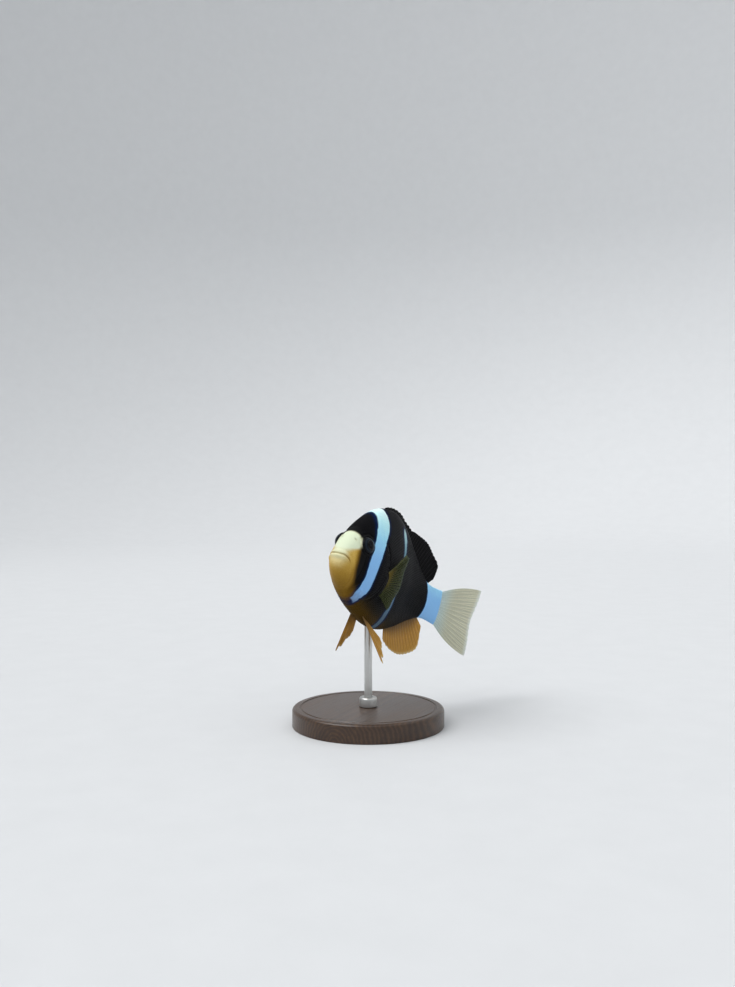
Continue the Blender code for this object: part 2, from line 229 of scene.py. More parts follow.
def markings(place):
    """Millimetres inside a white bar, how warm the colour is, and how far it pales to cream."""
    along, _, up = place
    over_keel = (up - keel(min(1.0, max(0.0, along)))) / MILLIMETRE
    white = -9.0
    for bar, floor in zip((HEAD_BAR, MIDDLE_BAR, TAIL_BAR), BAR_FLOORS, strict=True):
        start, end = smooth_through(bar, up, 1), smooth_through(bar, up, 2)
        white = max(white, min(min(along - start, end - along) / MILLIMETRE, over_keel - floor))
    if white < 0:
        white /= 1 + 1.1 * ease(up, 0.06, 0.22) + 0.5 * (1 - ease(up, -0.15, -0.06))
    past = (along - smooth_through(BLAZE_EDGE, up, 1)) / MILLIMETRE
    soft = 1.0 + 1.1 * (1 - ease(up, -0.02, 0.06))
    blaze = 1 - ease(past, -1.1 * soft, 0.8 * soft)
    throat = (1 - ease(over_keel, 1.0, 7.0)) * (1 - ease(along, 0.16, 0.24))
    belly = (1 - ease(over_keel, 0.0, 11.0)) * ease(along, 0.15, 0.20) * (1 - ease(along, 0.50, 0.74))
    ripe = 0.55 + 0.37 * ease(up, -0.17, -0.02)
    warm = max(blaze * ripe, 0.52 * throat, 0.34 * belly)
    aside = (along - smooth_through(CREAM_EDGE, up, 1)) / MILLIMETRE
    fade = 2.1 + 0.9 * (1 - ease(up, -0.06, 0.0))
    cream = blaze * (1 - ease(aside, -fade, fade)) * ease(up, -0.150, -0.030)
    return Vector((white, warm, cream))


def mark(mesh):
    """Writes the markings and the place on the fish to every point of a mesh."""
    marks = mesh.verts.layers.float_vector.new("markings")
    places = mesh.verts.layers.float_vector.new("place")
    for vertex in mesh.verts:
        place = on_fish(vertex.co)
        vertex[marks] = markings(place)
        vertex[places] = place


SKIN_DEPTH = 0.3 * MILLIMETRE  # under the scales
SKIN_RINGS = 420
SKIN_SIDES = 224
MOUTH = (  # along, up of the line between the lips
    (-0.010, -0.0225),
    (0.000, -0.0225),
    (0.016, -0.0240),
    (0.030, -0.0310),
    (0.044, -0.0430),
)
JAW_EDGE = ((0.036, -0.036), (0.062, -0.064), (0.086, -0.100), (0.104, -0.146))
MOUTH_SLOPE = 0.92  # turns a distance upright from the line into one square to it
JAW_SLOPE = 0.6
NOSTRIL = Vector((0.064, 0.060))
FACE_END = 0.13
RELIEF_END = 0.40
CHEEK = ((0.104, -0.012), (0.072, 0.122))  # an upright oval's centre and reach
GILL_COVER = ((0.230, -0.024), (0.082, 0.132))
EYE_ALONG = 0.118
EYE_UP = 0.058
EYE_RADIUS = 0.038
EYE_DEPTH = 0.026
EYE_SINK = 0.012
PECTORAL_ALONG = 0.317
PECTORAL_ROOT = (-0.030, -0.096)
LIPS = (  # height, place and half width of each swell and crease, in millimetres
    (-0.46, 0.0, 0.19),
    (0.24, 0.72, 0.50),
    (-0.12, 1.80, 0.40),
    (0.36, -0.78, 0.56),
    (-0.10, -2.10, 0.50),
)
NOSTRIL_RIM = ((0.10, 0.52, 0.20), (-0.42, 0.0, 0.30))
JAW_CREASE = ((-0.26, 0.0, 0.34), (0.10, 0.9, 0.6))
EYE_RIM = ((0.20, 3.30, 0.28), (-0.12, 4.05, 0.34))
EYE_SOCKET = 0.9
EYE_SOCKET_EDGE = (2.5, 3.1)
EYE_RIM_END = 6.0
PLATE_RISE = 0.16  # of the cheek and the gill cover, in millimetres
CHEEK_CREASE = ((-0.16, 0.22, 0.22),)
GILL_RIDGE = ((-0.10, -1.3, 0.4),)
GILL_SLIT = ((-0.50, 0.30, 0.26),)
THROAT_RIBS = 0.05
PECTORAL_FLESH = 0.42


def angle_at(along, up):
    """Where round a section a height lies, on the left side."""
    top, bottom = crest(along), keel(along)
    middle = bottom + (top - bottom) * WIDEST_SHARE
    reach = top - middle if up > middle else middle - bottom
    return math.asin(max(-1.0, min(1.0, (up - middle) / reach)))


def eye_seat(hand):
    """Centre of an eyeball and its outward axis."""
    angle = angle_at(EYE_ALONG, EYE_UP)
    if hand < 0:
        angle = math.pi - angle
    step = 0.004
    skin = in_model(body_place(EYE_ALONG, angle))
    back = in_model(body_place(EYE_ALONG + step, angle)) - skin
    over = in_model(body_place(EYE_ALONG, angle + step)) - skin
    outward = back.cross(over).normalized()
    if outward.dot(AXES @ Vector((0, hand, 0))) < 0:
        outward.negate()
    return skin - outward * EYE_SINK * STANDARD_LENGTH, outward


EYE_SEATS = {hand: eye_seat(hand) for hand in (1, -1)}


def oval(along, up, centre, reach):
    """Millimetres outside an upright oval seen from the side."""
    out = math.hypot((along - centre[0]) / reach[0], (up - centre[1]) / reach[1]) - 1
    return out * math.sqrt(reach[0] * reach[1]) / MILLIMETRE


def folds(swells, where):
    """The rise of a row of swells and creases, each with its height, place and half width in millimetres."""
    return sum(height * hump(where - place, width) for height, place, width in swells)


def relief(place, point):
    """Millimetres that the skin stands out at a place of the head or the shoulder."""
    along, side, up = place
    if along > RELIEF_END:
        return 0.0
    raised = 0.0
    if along < FACE_END:
        over_mouth = (up - smooth_through(MOUTH, along, 1)) / MILLIMETRE * MOUTH_SLOPE
        raised += folds(LIPS, over_mouth) * (1 - ease(along, 0.032, 0.048))
        raised += folds(NOSTRIL_RIM, (Vector((along, up)) - NOSTRIL).length / MILLIMETRE)
        over_jaw = (up - smooth_through(JAW_EDGE, along, 1)) / MILLIMETRE * JAW_SLOPE
        raised += folds(JAW_CREASE, over_jaw) * ease(along, 0.034, 0.046) * (1 - ease(along, 0.090, 0.106))
    centre, outward = EYE_SEATS[1 if side >= 0 else -1]
    from_eye = point - centre
    around = (from_eye - outward * from_eye.dot(outward)).length * 1000
    if around < EYE_RIM_END:
        raised += folds(EYE_RIM, around) - EYE_SOCKET * (1 - ease(around, *EYE_SOCKET_EDGE))
    cheek = oval(along, up, *CHEEK)
    seen = ease(along, 0.120, 0.150) * (1 - ease(up, 0.060, 0.095))
    raised += seen * (PLATE_RISE * (1 - ease(cheek, -0.16, 0.10)) + folds(CHEEK_CREASE, cheek))
    gill = oval(along, up, *GILL_COVER)
    behind = ease(along, 0.225, 0.262) * (1 - ease(up, 0.085, 0.125))
    under = ease(-up, 0.100, 0.140) * ease(along, 0.130, 0.180) * (1 - behind)
    plate = PLATE_RISE * (1 - ease(gill, -0.10, 0.12)) + folds(GILL_RIDGE, gill)
    raised += (behind + under) * plate + (behind + 0.44 * under) * folds(GILL_SLIT, gill)
    if up < -0.10 and 0.10 < along < 0.30:
        rib = (along - 0.16 - 0.9 * (up + 0.19)) / MILLIMETRE
        raised += THROAT_RIBS * math.sin(rib * 2.6) * ease(-up, 0.12, 0.16) * hump((along - 0.20) / 0.07, 1.0)
    at_root = hump((along - PECTORAL_ALONG + 0.004) / MILLIMETRE, 1.5)
    root_up, root_down = PECTORAL_ROOT
    in_root = ease(up, root_down - 0.02, root_down + 0.005) * (1 - ease(up, root_up, root_up + 0.02))
    return raised + PECTORAL_FLESH * at_root * in_root


def painted_crease_shade(place):
    """How much painted shade darkens a place in the mouth's crease and in the nostrils."""
    along, _, up = place
    if along > FACE_END:
        return 0.0
    line = (up - smooth_through(MOUTH, along, 1)) / MILLIMETRE * MOUTH_SLOPE
    depth = (0.22 + 0.33 * ease(along, 0.0, 0.03)) * (1 - ease(along, 0.034, 0.050))
    nostril = hump((Vector((along, up)) - NOSTRIL).length / MILLIMETRE, 0.30)
    return max(depth * hump(line + 0.05, 0.30), 0.42 * nostril)


def new_piece(name, mesh, finish, body="root"):
    """Closes a bmesh into a piece that rides on the part."""
    data = bpy.data.meshes.new(name)
    mesh.to_mesh(data)
    mesh.free()
    data.shade_smooth()
    data.materials.append(finish)
    piece = bpy.data.objects.new(name, data)
    bpy.context.scene.collection.objects.link(piece)
    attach(piece, body)
    return piece


class Wire:
    """A number carried by a shader socket, on which Python's sums make Math nodes."""

    def __init__(self, finish, socket):
        self.finish = finish
        self.socket = socket

    def _sum(self, operation, *values):
        node = self.finish.node("ShaderNodeMath", {"operation": operation}, dict(enumerate(values)))
        return Wire(self.finish, node.outputs[0])

    def __add__(self, other):
        return self._sum("ADD", self, other)

    __radd__ = __add__

    def __sub__(self, other):
        return self._sum("SUBTRACT", self, other)

    def __rsub__(self, other):
        return self._sum("SUBTRACT", other, self)

    def __mul__(self, other):
        return self._sum("MULTIPLY", self, other)

    __rmul__ = __mul__

    def between(self, low, high):
        """Rises smoothly from 0 to 1 while the number goes from low to high."""
        node = self.finish.node(
            "ShaderNodeMapRange",
            {"interpolation_type": "SMOOTHSTEP"},
            {"Value": self, "From Min": low, "From Max": high, "To Min": 0.0, "To Max": 1.0},
        )
        return Wire(self.finish, node.outputs[0])


class Finish:
    """One material: its Principled shader with fixed values, and a method that adds any other node."""

    def __init__(self, name, **fixed):
        self.material = bpy.data.materials.new(name)
        self.material.use_nodes = True
        self.tree = self.material.node_tree
        self.shader = self.tree.nodes["Principled BSDF"]
        for socket, value in fixed.items():
            self.shader.inputs[socket.replace("_", " ")].default_value = value

    def node(self, kind, settings=None, inputs=None):
        made = self.tree.nodes.new(kind)
        for name, value in (settings or {}).items():
            if name == "stops":
                self.set_stops(made.color_ramp, value)
            else:
                setattr(made, name, value)
        for socket, value in (inputs or {}).items():
            self.feed(made.inputs[socket], value)
        return made

    def feed(self, socket, value):
        if isinstance(value, Wire):
            value = value.socket
        if isinstance(value, bpy.types.NodeSocket):
            self.tree.links.new(value, socket)
        else:
            socket.default_value = value

    def set_stops(self, ramp, stops):
        while len(ramp.elements) < len(stops):
            ramp.elements.new(1.0)
        for element, (position, colour) in zip(ramp.elements, stops, strict=True):
            element.position = position
            element.color = (*colour, 1)

    def number(self, node, output=0):
        return Wire(self, node.outputs[output])

    def attribute(self, name):
        """The three numbers of an attribute."""
        read = self.node("ShaderNodeAttribute", {"attribute_name": name})
        parts = self.node("ShaderNodeSeparateXYZ", inputs={0: read.outputs["Vector"]})
        return [Wire(self, parts.outputs[i]) for i in range(3)]

    def noise(self, scale, detail=3.0, roughness=0.55):
        """Soft grain in the model's own space, from 0 to 1. The scale is in grains to the metre."""
        where = self.node("ShaderNodeTexCoord").outputs["Object"]
        inputs = {"Vector": where, "Scale": scale, "Detail": detail, "Roughness": roughness}
        return self.number(self.node("ShaderNodeTexNoise", {"noise_dimensions": "3D"}, inputs))

    def mix(self, share, first, second):
        """A colour between two, each a socket or three numbers."""
        made = self.node("ShaderNodeMix", {"data_type": "RGBA"}, {"Factor": share})
        for socket, colour in ((6, first), (7, second)):
            linked = isinstance(colour, bpy.types.NodeSocket)
            self.feed(made.inputs[socket], colour if linked else (*colour, 1))
        return made.outputs[2]

    def ramp(self, share, stops):
        return self.node("ShaderNodeValToRGB", {"stops": stops}, {"Fac": share}).outputs["Color"]

    def bump(self, height, distance, strength=1.0):
        inputs = {"Height": height, "Distance": distance, "Strength": strength}
        self.feed(self.shader.inputs["Normal"], self.node("ShaderNodeBump", inputs=inputs).outputs["Normal"])

    def wear(self, **sockets):
        """Feeds what changes over the surface."""
        for socket, value in sockets.items():
            self.feed(self.shader.inputs[socket.replace("_", " ")], value)


def fish_colour(finish, mottle, rim=None):
    """The colour of skin and scales from the markings, varied by a mottle round one half, paler at a rim as
    painted sheen; the bars carry painted light from above and the middle bar painted shade.
    """
    white, warm, cream = finish.attribute("markings")
    along, _, up = finish.attribute("place")
    white = white + (finish.noise(420.0, 2.0) - 0.5) * 0.55
    dust = finish.noise(3200.0, 2.0) - 0.5
    warm = warm + dust * 0.16 * warm.between(0.02, 0.5)
    cream = cream + dust * 0.35 * cream.between(0.0, 0.3) * (1.0 - cream.between(0.7, 1.0))
    ground = finish.mix(mottle, (0.0010, 0.0012, 0.0016), (0.0060, 0.0057, 0.0066))
    # Painted sheen: the free edges of the scales are paler.
    if rim:
        ground = finish.mix(rim, ground, (0.0150, 0.0150, 0.0185))
    warmth = finish.ramp(
        warm + (mottle - 0.5) * 0.08,
        (
            (0.00, (0.0, 0.0, 0.0)),
            (0.22, (0.024, 0.016, 0.005)),
            (0.50, (0.150, 0.078, 0.009)),
            (0.74, (0.370, 0.215, 0.033)),
            (0.90, (0.560, 0.360, 0.075)),
            (1.00, (0.680, 0.480, 0.140)),
        ),
    )
    lit = finish.mix(warm.between(0.0, 0.30), ground, warmth)
    pale = finish.mix(up.between(-0.075, 0.020), (0.740, 0.640, 0.330), (0.690, 0.760, 0.560))
    paled = finish.mix(cream.between(0.0, 1.0), lit, pale)
    edge = white.between(-1.25, -0.15) * (1.0 - warm.between(0.25, 0.7))
    edged = finish.mix(edge * 0.95, paled, (0.0018, 0.0140, 0.0640))
    # The bars pale from deep blue low down to near white on top: painted light falling from above.
    icy = finish.ramp(
        (up + 0.20) * 2.13 + (mottle - 0.5) * 0.10,
        (
            (0.05, (0.190, 0.290, 0.480)),
            (0.17, (0.270, 0.530, 0.900)),
            (0.49, (0.290, 0.580, 0.950)),
            (0.68, (0.400, 0.790, 0.990)),
            (0.85, (0.600, 0.950, 1.000)),
            (0.98, (0.820, 1.000, 0.980)),
        ),
    )
    # Painted shade: the middle bar is darkened towards grey-blue, less at its top.
    on_middle_bar = along.between(0.36, 0.44) * (1.0 - along.between(0.6, 0.7))
    shade = on_middle_bar * (0.75 - up.between(0.12, 0.22) * 0.35)
    shaded = finish.mix(shade, icy, (0.060, 0.105, 0.130))
    return finish.mix(white.between(-0.20, 0.20), edged, shaded)


skin_finish = Finish("fish_skin", Specular_IOR_Level=0.08, IOR=1.4)
skin_mottle = skin_finish.noise(900.0)
# Painted shade: the mouth's crease and the nostrils are darkened towards brown.
skin_crease_shade = skin_finish.attribute("fold")[0]
skin_finish.wear(
    Base_Color=skin_finish.mix(skin_crease_shade, fish_colour(skin_finish, skin_mottle), (0.200, 0.095, 0.020)),
    Roughness=skin_mottle * 0.16 + 0.34,
)
skin_pores = skin_finish.noise(5200.0, 2.0) * 0.6 + skin_finish.noise(1700.0, 2.0)
skin_finish.bump(skin_pores, 0.00006, 0.5)

skin_mesh = bmesh.new()
bmesh.ops.create_uvsphere(skin_mesh, u_segments=SKIN_SIDES, v_segments=SKIN_RINGS, radius=1.0)
for vertex in skin_mesh.verts:
    share = math.acos(max(-1.0, min(1.0, vertex.co.z))) / math.pi
    angle = math.atan2(vertex.co.y, vertex.co.x)
    vertex.co = in_model(body_place(share * share * (2.6 - 1.6 * share), angle, -SKIN_DEPTH))
bmesh.ops.recalc_face_normals(skin_mesh, faces=skin_mesh.faces)
skin_mesh.normal_update()
fold = skin_mesh.verts.layers.float_vector.new("fold")
moves = []
for vertex in skin_mesh.verts:
    place = on_fish(vertex.co)
    vertex[fold] = (painted_crease_shade(place), 0, 0)
    moves.append(vertex.normal * relief(place, vertex.co) * 0.001)
for vertex, move in zip(skin_mesh.verts, moves, strict=True):
    vertex.co += move
skin_mesh.normal_update()
mark(skin_mesh)
skin_shape = BVHTree.FromBMesh(skin_mesh)
skin = new_piece("skin", skin_mesh, skin_finish.material)
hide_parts("head", "lower_jaw", "gill_cover_left", "gill_cover_right", "trunk", "tail_stalk")

# The scales: small round plates that overlap backwards like tiles, painted as the skin under them with
# painted sheen along each free edge, smallest on the face and stalk, with none on snout, lips and eye rims.
# Each is one domed resin plate with a thin edge, pressed onto the skin, and all the scales of a region are
# joined in one mesh.
SCALE_PITCH = (  # along, spacing
    (0.095, 0.0062),
    (0.200, 0.0086),
    (0.330, 0.0126),
    (0.600, 0.0126),
    (0.860, 0.0098),
    (0.990, 0.0088),
)
SCALE_ACROSS = 1.08
SCALE_STEP = 0.92
SCALE_REACH = 1.70
SCALE_BREADTH = 1.52
SCALE_EDGE_LIFT = 0.00016
SCALE_ROOT_SINK = 0.00003
SCALE_RIM = 0.00012
SCALE_PATCH = 0.003
ARC_STEPS = 28
BARE_ROUND_EYE = 0.0044
BARE_SNOUT = (0.108, 0.02)  # along, up
BARE_GILL_SLIT = (-1.15, 0.75)  # millimetres in front of the slit and behind it
SCALED_REGIONS = {
    "scales_head": (0.095, 0.330),
    "scales_trunk": (0.330, 0.560),
    "scales_tail": (0.560, 0.985),
}


def scale_plate():
    """One scale, a unit across, its free edge towards +X."""
    plate = bmesh.new()
    bmesh.ops.create_grid(plate, x_segments=4, y_segments=4, size=1.0)
    for vertex in plate.verts:
        x, y, _ = vertex.co
        vertex.co = (x * math.sqrt(1 - y * y / 2) / 2, y * math.sqrt(1 - x * x / 2) / 2, 0)
    rim = bmesh.ops.extrude_edge_only(plate, edges=[edge for edge in plate.edges if edge.is_boundary])
    skirt = [item for item in rim["geom"] if isinstance(item, bmesh.types.BMVert)]
    bmesh.ops.translate(plate, verts=skirt, vec=(0, 0, -1))
    bmesh.ops.recalc_face_normals(plate, faces=plate.faces)
    data = bpy.data.meshes.new("scale_plate")
    plate.to_mesh(data)
    plate.free()
    return data


def section_arc(along):
    """Distances round a section from the flank, one list up to the crest and one down to the keel."""
    lists = []
    for way in (1, -1):
        turns = [way * i / ARC_STEPS * math.pi / 2 for i in range(ARC_STEPS + 1)]
        points = [in_model(body_place(along, turn)) for turn in turns]
        total, arc = 0.0, [0.0]
        for start, end in zip(points, points[1:], strict=False):
            total += (end - start).length / STANDARD_LENGTH
            arc.append(total)
        lists.append(arc)
    return lists


def arc_angle(arc, distance):
    """The angle at a distance round a section."""
    after = next(i for i, reached in enumerate(arc) if reached >= distance)
    if after == 0:
        return 0.0
    share = (distance - arc[after - 1]) / (arc[after] - arc[after - 1])
    return (after - 1 + share) / ARC_STEPS * math.pi / 2


def is_scaled(along, up, side):
    """Whether scales grow at a place: not on the snout, the eyes, the jaw or the gill opening."""
    hand = 1 if side >= 0 else -1
    centre, outward = EYE_SEATS[hand]
    from_eye = in_model((along, side, up)) - centre
    if (from_eye - outward * from_eye.dot(outward)).length < BARE_ROUND_EYE and along < 0.2:
        return False
    if along < BARE_SNOUT[0] and up < BARE_SNOUT[1]:
        return False
    at_slit = ease(along, 0.225, 0.262) * (1 - ease(up, 0.085, 0.125))
    if along > 0.15:
        at_slit += ease(-up, 0.100, 0.140)
    return at_slit < 0.3 or not BARE_GILL_SLIT[0] < oval(along, up, *GILL_COVER) < BARE_GILL_SLIT[1]


scale_data = scale_plate()
scale_ring = 0
scale_along = SCALE_PITCH[0][0]
scale_seats = {name: [] for name in SCALED_REGIONS}
while scale_along < SCALED_REGIONS["scales_tail"][1]:
    pitch = smooth_through(SCALE_PITCH, scale_along, 1)
    region = next(name for name, (start, end) in SCALED_REGIONS.items() if start <= scale_along < end)
    for way, arc in zip((1, -1), section_arc(scale_along), strict=True):
        row = 0.5 * (scale_ring % 2) if way > 0 else 1 - 0.5 * (scale_ring % 2)
        while row * pitch * SCALE_ACROSS < arc[-1] - 0.1 * pitch:
            turn = way * arc_angle(arc, row * pitch * SCALE_ACROSS)
            place = body_place(scale_along, turn)
            for hand in (1, -1):
                if is_scaled(scale_along, place.z, hand * place.y):
                    scale_seats[region].append((scale_along, turn if hand > 0 else math.pi - turn, pitch))
            row += 1
    scale_along += pitch * SCALE_STEP
    scale_ring += 1

scale_finish = Finish("fish_scales", Specular_IOR_Level=0.035, IOR=1.4)
scale_mottle = scale_finish.noise(700.0)
# The rim attribute carries painted sheen on the free edge of each scale.
scale_rim_sheen = scale_finish.attribute("rim")[0].between(0.20, 0.50)
scale_finish.wear(
    Base_Color=fish_colour(scale_finish, scale_mottle, scale_rim_sheen * 0.8),
    Roughness=scale_mottle * 0.20 + 0.36,
)
scale_finish.bump(scale_finish.noise(6500.0, 2.0), 0.00003, 0.4)

for name, seats in scale_seats.items():
    coat = bmesh.new()
    bake = coat.loops.layers.uv.new("OFBake")
    rim = coat.verts.layers.float_vector.new("rim")
    for along, turn, pitch in seats:
        first_vertex, first_face = len(coat.verts), len(coat.faces)
        coat.from_mesh(scale_data)
        coat.verts.ensure_lookup_table()
        coat.faces.ensure_lookup_table()
        root = in_model(body_place(along, turn, -SKIN_DEPTH))
        back = (in_model(body_place(along + 0.004, turn, -SKIN_DEPTH)) - root).normalized()
        outward = skin_shape.find_nearest(root)[1]
        across = outward.cross(back).normalized()
        size = pitch * STANDARD_LENGTH
        patch = Vector((0.01 + 0.98 * along, 0.01 + 0.98 * ((turn / math.tau) % 1.0)))
        for face in coat.faces[first_face:]:
            for loop in face.loops:
                loop[bake].uv = patch + loop.vert.co.xy * SCALE_PATCH
        for vertex in coat.verts[first_vertex:]:
            x, y, down = vertex.co
            vertex[rim] = (math.copysign(x * x + 0.7 * y * y, x) * 2, 0, 0)
            target = root + back * (x + 0.2) * size * SCALE_REACH + across * y * size * SCALE_BREADTH
            spot, normal, _, _ = skin_shape.find_nearest(target)
            lift = SCALE_EDGE_LIFT * (x + 0.5) - SCALE_ROOT_SINK - SCALE_EDGE_LIFT * 0.5 * y * y
            vertex.co = spot + normal * (lift + down * SCALE_RIM)
    mark(coat)
    piece = new_piece(name, coat, scale_finish.material)

# The eyes: cast resin, painted a dark iris round a black pupil with a thin bluish ring, then polished. Each
# is one flattened ball pressed into its socket, and the pupil's lens swells a little under the gloss.
EYE_RINGS = 64
EYE_SIDES = 96
PUPIL = 0.50
LENS_SWELL = 0.03
IRIS_DIP = 0.02
EYE_PLAY = 0.985

eye_finish = Finish(
    "fish_eye", Roughness=0.10, Specular_IOR_Level=0.06, IOR=1.34, Coat_Weight=0.16, Coat_Roughness=0.02
)
reach_out, _, _ = eye_finish.attribute("iris")
eye_streaks = eye_finish.noise(2600.0, 4.0)
eye_ring = eye_finish.ramp(
    reach_out + (eye_streaks - 0.5) * 0.05,
    (
        (0.000, (0.0002, 0.0003, 0.0008)),
        (0.470, (0.0002, 0.0004, 0.0012)),
        (0.500, (0.0300, 0.0270, 0.0180)),
        (0.530, (0.0050, 0.0080, 0.0120)),
        (0.640, (0.0045, 0.0085, 0.0150)),
        (0.730, (0.0120, 0.0200, 0.0300)),
        (0.800, (0.0060, 0.0095, 0.0140)),
        (0.880, (0.0018, 0.0020, 0.0026)),
    ),
)
eye_finish.wear(Base_Color=eye_finish.mix(eye_streaks * 0.35, eye_ring, (0.002, 0.004, 0.008)))
eye_finish.bump(eye_finish.noise(3000.0, 2.0), 0.00001, 0.15)

for side, hand in (("left", 1), ("right", -1)):
    centre, outward = EYE_SEATS[hand]
    ball = bmesh.new()
    bmesh.ops.create_uvsphere(ball, u_segments=EYE_SIDES, v_segments=EYE_RINGS, radius=1.0)
    iris = ball.verts.layers.float_vector.new("iris")
    for vertex in ball.verts:
        x, y, z = vertex.co
        out = math.hypot(x, y)
        vertex[iris] = (out if z > 0 else 1.0, math.atan2(y, x) / math.tau, z)
        if z > 0:
            vertex.co.z += LENS_SWELL * (1 - ease(out, PUPIL * 0.6, PUPIL * 1.3))
            vertex.co.z -= IRIS_DIP * hump(out - 0.66, 0.14)
    across, deep = (reach * STANDARD_LENGTH * EYE_PLAY for reach in (EYE_RADIUS, EYE_DEPTH))
    bmesh.ops.scale(ball, vec=(across, across, deep), verts=ball.verts)
    turn = outward.to_track_quat("Z", "Y").to_matrix().to_4x4()
    bmesh.ops.transform(ball, matrix=Matrix.Translation(centre) @ turn, verts=ball.verts)
    eye = new_piece(f"eyeball_{side}", ball, eye_finish.material)
    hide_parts(f"eye_{side}")

# The dorsal fin: ten stiff spines in front with the membrane cut in behind each, then a tall soft lobe of
# sixteen branching rays. Every fin is one closed blade of thin, tinted resin film, thickened along its rays
# and rooted in the flesh.
FIN_ROOT_DEPTH = 0.014
MEMBRANE = 0.00006
RAY_SWELL = 0.00021
RAY_COLUMNS = 14
RAY_JOINTS = 210.0  # radians along a ray
SPINY_DORSAL = (  # along, height, how far it sweeps back
    (0.300, 0.006, 0.006),
    (0.340, 0.014, 0.020),
    (0.420, 0.017, 0.030),
    (0.520, 0.017, 0.034),
    (0.602, 0.024, 0.024),
)
SOFT_DORSAL = (
    (0.596, 0.022, 0.024),
    (0.640, 0.050, 0.030),
    (0.700, 0.081, 0.046),
    (0.750, 0.098, 0.056),
    (0.800, 0.098, 0.062),
    (0.840, 0.080, 0.068),
    (0.864, 0.024, 0.038),
)


def ray_swell(off, out, spine):
    """How much a ray stands out: off is the place across it, in ray spacings, and out the place along it."""
    if spine:
        return hump(off, 0.15 - 0.06 * out)
    wide, narrow = 0.21 * ease(out, 0.38, 0.85), 0.095 * ease(out, 0.66, 0.98)
    swell = 0.0
    for half in (-wide, wide):
        for quarter in (-narrow, narrow):
            swell = max(swell, hump(off - half - quarter, 0.105 - 0.035 * out))
    return swell


def fin_blade(name, node, line, rays, spines, finish, rows=44, notch=0.05, ripple=0.0002, sunk=0.0):
    """A fin of so many rays, the first of them spines. Its line gives, for a share of the way across the fin,
    where a ray starts, where it ends and how far it bows between. Sunk is the share of it that lies in flesh,
    from which its rays rise slowly."""
    known = {}

    def at(t, out):
        if t not in known:
            known[t] = [Vector(place) for place in line(t)]
        start, end, bow = known[t]
        return in_model(start.lerp(end, out) + bow * math.sin(math.pi * out))

    blade = bmesh.new()
    bmesh.ops.create_grid(blade, x_segments=rays * RAY_COLUMNS, y_segments=rows, size=1.0)
    back = bmesh.ops.extrude_face_region(blade, geom=blade.faces[:])
    far = [item for item in back["geom"] if isinstance(item, bmesh.types.BMVert)]
    bmesh.ops.translate(blade, verts=far, vec=(0, 0, 1))
    layer = blade.verts.layers.float_vector.new("blade")
    for vertex in blade.verts:
        t, out, near = (vertex.co.x + 1) / 2, (vertex.co.y + 1) / 2, 1 - 2 * vertex.co.z
        ray = min(rays - 1, int(t * rays))
        off = t * rays - ray - 0.5
        spine = ray < spines
        swell = ray_swell(off, out, spine)
        cut = notch * (2.2 * ease(abs(off), 0.1, 0.5) if spine else 1 - hump(off, 0.42)) * out**3
        reached = out * (1 - cut)
        place = at(t, reached)
        step = 0.002
        along_blade = at(min(1.0, t + step), reached) - at(max(0.0, t - step), reached)
        up_blade = at(t, min(1.0, reached + step)) - at(t, max(0.0, reached - step))
        across = along_blade.cross(up_blade).normalized()
        thin = 1 - 0.55 * out
        if sunk:
            thin *= ease(out, sunk, sunk + 0.3)
        edge = 1 - 0.6 * ease(out, 0.94, 1.0)
        half = (MEMBRANE + RAY_SWELL * swell * thin) * edge
        wave = ripple * out * out * math.sin(t * math.tau * 2.3 + 0.6)
        vertex.co = place + across * (near * half + wave)
        vertex[layer] = (swell, out, t)
    bmesh.ops.recalc_face_normals(blade, faces=blade.faces)
    mark(blade)
    piece = new_piece(name, blade, finish.material)
    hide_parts(node)
    return piece


def fin_finish(name, film, ray, edge, clear, gloss=0.3):
    """A fin's finish: the colours of its film, its rays and its edge, and how clear the film is."""
    finish = Finish(name, Specular_IOR_Level=gloss)
    swell, out, across = finish.attribute("blade")
    grain = finish.noise(1400.0, 1.5)
    joints = finish.number(finish.node("ShaderNodeMath", {"operation": "SINE"}, {0: out * RAY_JOINTS}))
    dusted = finish.mix(grain * 0.6, film, [part * 0.6 for part in film])
    lined = finish.mix(swell * 0.62 * (1.0 + joints * 0.08), dusted, ray)
    edged = finish.mix(out.between(0.90, 1.0) * 0.85, lined, edge)
    finish.wear(Roughness=0.38 + grain * 0.18)
    if clear:
        finish.wear(Alpha=1.0 - (1.0 - swell) * out.between(0.05, 0.6) * clear)
    finish.bump(joints * swell * 0.5 + grain, 0.00002, 0.35)
    return finish, edged, out


def median_line(table, contour, upward):
    """The line of a fin on the crest or, with upward -1, on the keel."""
    first, last = table[0][0], table[-1][0]

    def line(t):
        where = first + (last - first) * t
        height, sweep = (smooth_through(table, where, column) for column in (1, 2))
        root = (where, 0, contour(where) - upward * FIN_ROOT_DEPTH)
        return root, (where + sweep, 0, contour(where) + upward * height), (0, 0, 0)

    return line


dorsal_finish, dorsal_colour, dorsal_out = fin_finish(
    "dorsal_film",
    (0.0018, 0.0018, 0.0024),
    (0.0080, 0.0077, 0.0088),
    (0.0060, 0.0080, 0.0092),
    0.0,
    gloss=0.05,
)
dorsal_along = dorsal_finish.attribute("place")[0]
dorsal_white = (dorsal_finish.attribute("markings")[0] - dorsal_out * 3.0).between(-0.25, 0.25)
dorsal_white = dorsal_white * (1.0 - dorsal_along.between(0.62, 0.66))
dorsal_finish.wear(Base_Color=dorsal_finish.mix(dorsal_white, dorsal_colour, (0.30, 0.62, 0.84)))
spiny = fin_blade(
    "dorsal_spines", "dorsal_fin_spiny", median_line(SPINY_DORSAL, crest, 1), 10, 10, dorsal_finish
)
soft = fin_blade(
    "dorsal_lobe", "dorsal_fin_soft", median_line(SOFT_DORSAL, crest, 1), 16, 0, dorsal_finish, notch=0.03
)

